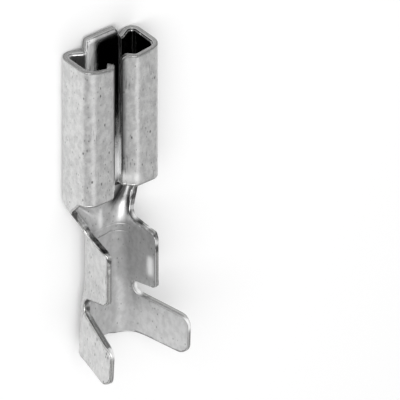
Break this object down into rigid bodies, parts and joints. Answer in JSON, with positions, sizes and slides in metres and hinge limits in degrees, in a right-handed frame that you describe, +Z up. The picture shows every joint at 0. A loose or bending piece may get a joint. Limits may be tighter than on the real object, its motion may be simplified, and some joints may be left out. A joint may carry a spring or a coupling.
{
  "type": "female spade terminal",
  "caption": "Tinned sheet-metal female spade terminal: rolled receptacle with a slot and a pressed back pad, and open crimp wings for the conductor and the insulation.",
  "frame": {"origin": "on the resting plane, under the middle of the part", "axes": "mouth of the receptacle to -Y, wire end to +Y, open side up along +Z, back down"},
  "size_m": [0.004, 0.014, 0.0035],
  "materials": {
    "tinned_sheet": "tin plated, satin"
  },
  "bodies": {
    "root": {"terminal_body": "tinned_sheet"}
  },
  "joints": []
}
